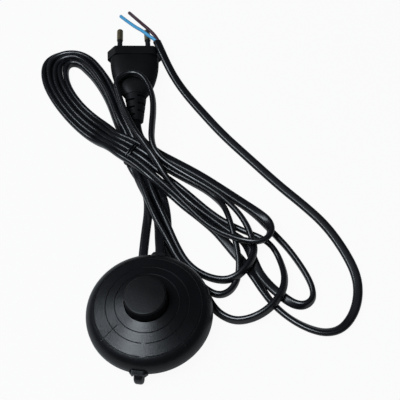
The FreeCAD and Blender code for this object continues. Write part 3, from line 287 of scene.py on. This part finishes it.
SHEATH_END = (-27.2, 191.8, 11.2)
lamp_points = [
    # Out of the back hood, down to the floor and up to the tie
    (0, 22, INLET, FLAT), (0, 37.4, INLET, FLAT), (-2.6, 48, 7, FLAT), (-5, 59, 3, FLAT),
    (-8, 69.5, HALF_FLAT, FLAT), (-12.5, 79, HALF_FLAT, FLAT), (-18, 88.5, 2.2, FLAT),
    *eye_turn((1.2, LOWER_LEGS), 0.5, 0.72, 3.3),
    # Along the runs, up over two of them, round the middle loose turn and back to the tie
    (-8, 98.6, 6, 0), (4, 94, 3.3, 0), (12.3, 90.3, HALF_EDGE, 0), (20, 86.2, HALF_EDGE, 0),
    (26.5, 81, 3.4, 0), (31, 75.4, 6, 0), (34.6, 68.6, 8, 0), (37.6, 61.2, 8.4, 0), (40.3, 54, 7.2, 0),
    (42.5, 48, 6.4, 0), (45, 38.1, 5.2, 0), (45, 28.8, 3.4, 0), (41.5, 21.2, HALF_EDGE, 0),
    (35.1, 18.2, HALF_EDGE, 0), (27.2, 21.8, HALF_EDGE, 0), (19, 29.4, HALF_EDGE, 0), (9, 38.8, 3.4, 0),
    (4.3, 45.7, 4.8, 0), (-0.3, 52.3, 6.4, 0), (-7.4, 62, 7.4, 0), (-14.6, 75.5, 7.2, 0),
    (-22.4, 88.7, 7, 45),
    *eye_turn((-1.4, UPPER_LEGS), 0.7, 0.5, 0),
    # Along the runs, round the wide loose turn beside the switch and back to the tie
    (-10, 94.6, 6.5, 0), (3, 87.6, 3.2, 0), (11.7, 81.1, HALF_EDGE, 0), (21.6, 73.3, HALF_EDGE, 0),
    (30.7, 67.3, HALF_EDGE, 0), (40, 63, HALF_EDGE, 0), (48, 60, HALF_EDGE, 0), (54.5, 57.8, 2.9, 0),
    (60, 54.6, 3, 0), (64.2, 50, 3, 0), (68, 43, 3.2, 0), (71.3, 33.5, 5.2, 0), (71.5, 24, 7.6, 0),
    (68, 15.6, 7.6, 0), (62.5, 9.4, 6.4, 0), (55, 5.2, 4.6, 0), (46.5, 3.8, 2.9, 0),
    (38.5, 6.6, HALF_EDGE, 0), (32.8, 11.6, 2.6, 20), (28, 18, 2.1, 70), (19, 24.5, HALF_FLAT, FLAT),
    (9.8, 31.5, HALF_FLAT, FLAT), (3, 40, HALF_FLAT, FLAT), (0.5, 46, HALF_FLAT, FLAT),
    (0.3, 57, HALF_FLAT, FLAT), (-2.5, 70, HALF_FLAT, FLAT), (-7, 82, HALF_FLAT, FLAT),
    (-13.5, 92, 2.2, FLAT),
    *eye_turn((6, LOWER_LEGS), 0.1, 0.08, -6.6),
    # Along the front edge of the runs, out to the right in a wide bow and back to the stripped end
    (-16, 89, 10.6, 0), (-8, 84.3, 7, 0), (0, 79.6, 3.2, 0), (8, 74.4, 2.5, 45), (18.5, 67.4, 2.4, 55),
    (28.5, 60, 2.1, 70), (35.5, 52.8, HALF_FLAT, FLAT), (41.5, 46.2, HALF_FLAT, FLAT),
    (46.2, 41.6, HALF_FLAT, 80), (50.4, 37.2, 2, 70), (54.4, 32, 2.2, 50), (59.5, 24.6, 2.5, 30),
    (66.2, 16.2, HALF_EDGE, 15), (76, 8.6, HALF_EDGE, 15), (87, 3.6, HALF_EDGE, 30), (96.8, 2, HALF_EDGE, 40),
    (105.2, 5.4, HALF_EDGE, 45), (110.8, 14.8, HALF_EDGE, 60), (112.8, 27, 2.7, 62), (110.8, 39.8, 2.6, 65),
    (103, 54.5, 2.5, 66), (91.5, 70, 2.4, 66), (78, 82, 2.3, 66), (62, 94.5, 2.3, 66), (43, 111.3, 2.3, 66),
    (24, 128, 2.3, 66), (8, 144.8, 2.3, 70), (-4, 157.8, 2.6, 80), (-13, 168.6, 5, FLAT),
    (-19.6, 178.2, 9.2, FLAT), (-23.6, 185.2, 11, FLAT), (*SHEATH_END, FLAT),
]
lamp_cord = flat_flex("lamp_cord", lamp_points, CORD_WIDTH, CORD_THICK, SHEATH)
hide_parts("back_lead", "loose_turn_b", "loose_turn_c", "lamp_lead")

# Stripped lamp end: the two insulated cores, 2.2 mm in blue and brown PVC, where the sheath has been cut
# away; they stick out over the plug's right pin and droop to the floor.
CORE = 2.2
CORE_ROUTES = {
    "blue_core": (BLUE_PVC, "blue_insulation", 0.0445,
                  [(-27.2, 191, 11.2, 0), (-28.6, 193, 11.6, 0), (-33.2, 195.4, 12.2, 0),
                   (-38.2, 199.6, 12, 0), (-46.4, 207.7, 6.8, 0), (-57.9, 220.2, 1.3, 0)]),
    "brown_core": (BROWN_PVC, "brown_insulation", 0.045,
                   [(-25.6, 191, 11.2, 0), (-27, 193.6, 11.4, 0), (-31, 198.4, 11.6, 0),
                    (-35.4, 202.1, 12, 0), (-39.2, 205.4, 11.8, 0), (-43.7, 211.1, 9, 0),
                    (-48.9, 218.8, 4, 0), (-52.6, 223.7, 1.3, 0)]),
}
for name, (material, slot, length, points) in CORE_ROUTES.items():
    piece = flat_flex(name + "_wire", points, CORE, CORE, material)
    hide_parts(name)

# Plug: a two-pin plug moulded on the supply cord in soft black PVC, with a slotted strain relief; the pins
# are nickel-plated brass with moulded sleeves on their inner half.
# Soft PVC: near-black and rather matt
dress(moulded("plug_pvc", "#08080a", "#0f1012", gloss=(0.42, 0.52), patch=9, grain=0.9, relief=0.04,
              shine=0.25), "plug_body")
# Nickel plate: warm grey, dulled by use
dress(plated("nickel_plate", "#9a8a6c", "#cdbd9c", gloss=(0.28, 0.45), patch=2, scratch=0.25), "plug_pins")
# Sleeve nylon: black, and a little smoother than the plug
dress(moulded("sleeve_nylon", "#0b0b0d", "#121315", gloss=(0.4, 0.5), patch=4, grain=0.5, relief=0.02),
      "pin_sleeves")

# Tie: a length of thin steel wire in a black PVC coat, wound twice round the hank's waist by hand; it holds
# by its own stiffness.
TIE_WIRE = 1.0
TIE_TURNS = 2
TIE_PITCH = 1.7
# Half its width across the runs, half its height, and the height of its middle
TIE_HALF = (9.2, 6.9)
TIE_MIDDLE = 7.6
# Where round the waist the wire starts and ends, on top and to the right
TIE_START = math.pi / 3
# On the left the wire draws in below the outermost run, where no strand lies under it
TIE_DRAW = 0.15
TURN_STEPS = 14
tie_points = []
for step in range(TIE_TURNS * TURN_STEPS + 1):
    angle = 2 * math.pi * step / TURN_STEPS + TIE_START
    squeeze = 1 if math.cos(angle) > 0 else 1 - TIE_DRAW + TIE_DRAW * math.sin(angle)
    spot = (TIE_PLACE + RUN_ACROSS * (TIE_HALF[0] * squeeze * math.cos(angle))
            + RUN_WAY * (TIE_PITCH * (step / TURN_STEPS - TIE_TURNS / 2)))
    tie_points.append((spot.x, spot.y, TIE_MIDDLE + TIE_HALF[1] * math.sin(angle), 0))
tie = flat_flex("wire_tie", tie_points, TIE_WIRE, TIE_WIRE, SHEATH)
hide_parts("cord_tie")

# Floor: a wide sheet of matt white paper that the object lies on; it reads as a plain ground and still takes
# the object's soft shadow.
FLOOR_HALF = 3
CAMERA_GLOW = 0.94
MIRROR_GLOW = 0.1
floor_mesh = bpy.data.meshes.new("floor_sheet")
sheet = bmesh.new()
bmesh.ops.create_grid(sheet, x_segments=1, y_segments=1, size=FLOOR_HALF)
sheet.to_mesh(floor_mesh)
sheet.free()
floor = bpy.data.objects.new("floor_sheet", floor_mesh)
bpy.context.scene.collection.objects.link(floor)
paper = bpy.data.materials.new("white_paper")
paper.use_nodes = True
tree = paper.node_tree
shader = tree.nodes["Principled BSDF"]
# A shade below white, so that the sheet throws little light up at the black plastic
shader.inputs["Base Color"].default_value = linear("#bcbcbc")
shader.inputs["Roughness"].default_value = 0.9
# The camera sees the sheet as mostly glowing and a little lit, so that its white holds and the shadow stays
# soft; mirror and see-through rays get a weak share of the glow
rays = add(tree, "ShaderNodeLightPath", {}, {})
mirrored = add(tree, "ShaderNodeMath", {"operation": "ADD"},
               {0: rays.outputs["Is Glossy Ray"], 1: rays.outputs["Is Transmission Ray"]})
weaker = add(tree, "ShaderNodeMath", {"operation": "MULTIPLY"}, {0: mirrored.outputs[0], 1: MIRROR_GLOW})
share = add(tree, "ShaderNodeMath", {"operation": "MULTIPLY_ADD"},
            {0: rays.outputs["Is Camera Ray"], 1: CAMERA_GLOW, 2: weaker.outputs[0]})
glow = add(tree, "ShaderNodeEmission", {}, {"Strength": 1})
mixed = add(tree, "ShaderNodeMixShader", {},
            {0: share.outputs[0], 1: shader.outputs["BSDF"], 2: glow.outputs["Emission"]})
tree.links.new(mixed.outputs["Shader"], tree.nodes["Material Output"].inputs["Surface"])
floor_mesh.materials.append(paper)

# Light: a dim room, a soft box almost overhead towards the front left, and a smaller one on the left; both
# boxes are a little cooler than daylight.
ROOM_TINT = (0.93, 0.97, 1, 1)
ROOM_STRENGTH = 0.04
BOX_TINT = (0.84, 0.92, 1)
BOX_AIM = Vector((0, 0.06, 0))
world = bpy.data.worlds.new("dim_room")
world.use_nodes = True
bpy.context.scene.world = world
world.node_tree.nodes["Background"].inputs["Color"].default_value = ROOM_TINT
world.node_tree.nodes["Background"].inputs["Strength"].default_value = ROOM_STRENGTH
SOFT_BOXES = {"key_box": ((-0.27, -0.19, 0.98), 0.4, 7.5), "side_box": ((-0.62, 0.18, 0.8), 0.3, 2.5)}
for name, (place, side, power) in SOFT_BOXES.items():
    light = bpy.data.lights.new(name, "AREA")
    light.size = side
    light.energy = power
    light.color = BOX_TINT
    lamp = bpy.data.objects.new(name, light)
    lamp.location = place
    lamp.rotation_euler = (BOX_AIM - Vector(place)).to_track_quat("-Z", "Y").to_euler()
    bpy.context.scene.collection.objects.link(lamp)

# Camera: the photograph's view, from above the front edge with a slight roll; it was fitted to the plug's
# standard size and the switch's round rim.
CAMERA_PLACE = Vector((94.6, -225.1, 506.4)) * MM
ELEVATION = math.radians(58)
HEADING = math.radians(-14.4)
ROLL = math.radians(-7.5)
ahead = Vector((math.sin(HEADING) * math.cos(ELEVATION), math.cos(HEADING) * math.cos(ELEVATION),
                -math.sin(ELEVATION)))
level = Vector((math.cos(HEADING), -math.sin(HEADING), 0))
upward = level.cross(ahead)
right = level * math.cos(ROLL) + upward * math.sin(ROLL)
up = upward * math.cos(ROLL) - level * math.sin(ROLL)
lens = bpy.data.cameras.new("photo_camera")
lens.lens = 90
lens.sensor_width = 36
camera = bpy.data.objects.new("photo_camera", lens)
camera.matrix_world = Matrix.Translation(CAMERA_PLACE) @ Matrix((right, up, -ahead)).transposed().to_4x4()
bpy.context.scene.collection.objects.link(camera)
bpy.context.scene.camera = camera
bpy.context.scene.view_settings.view_transform = "Standard"
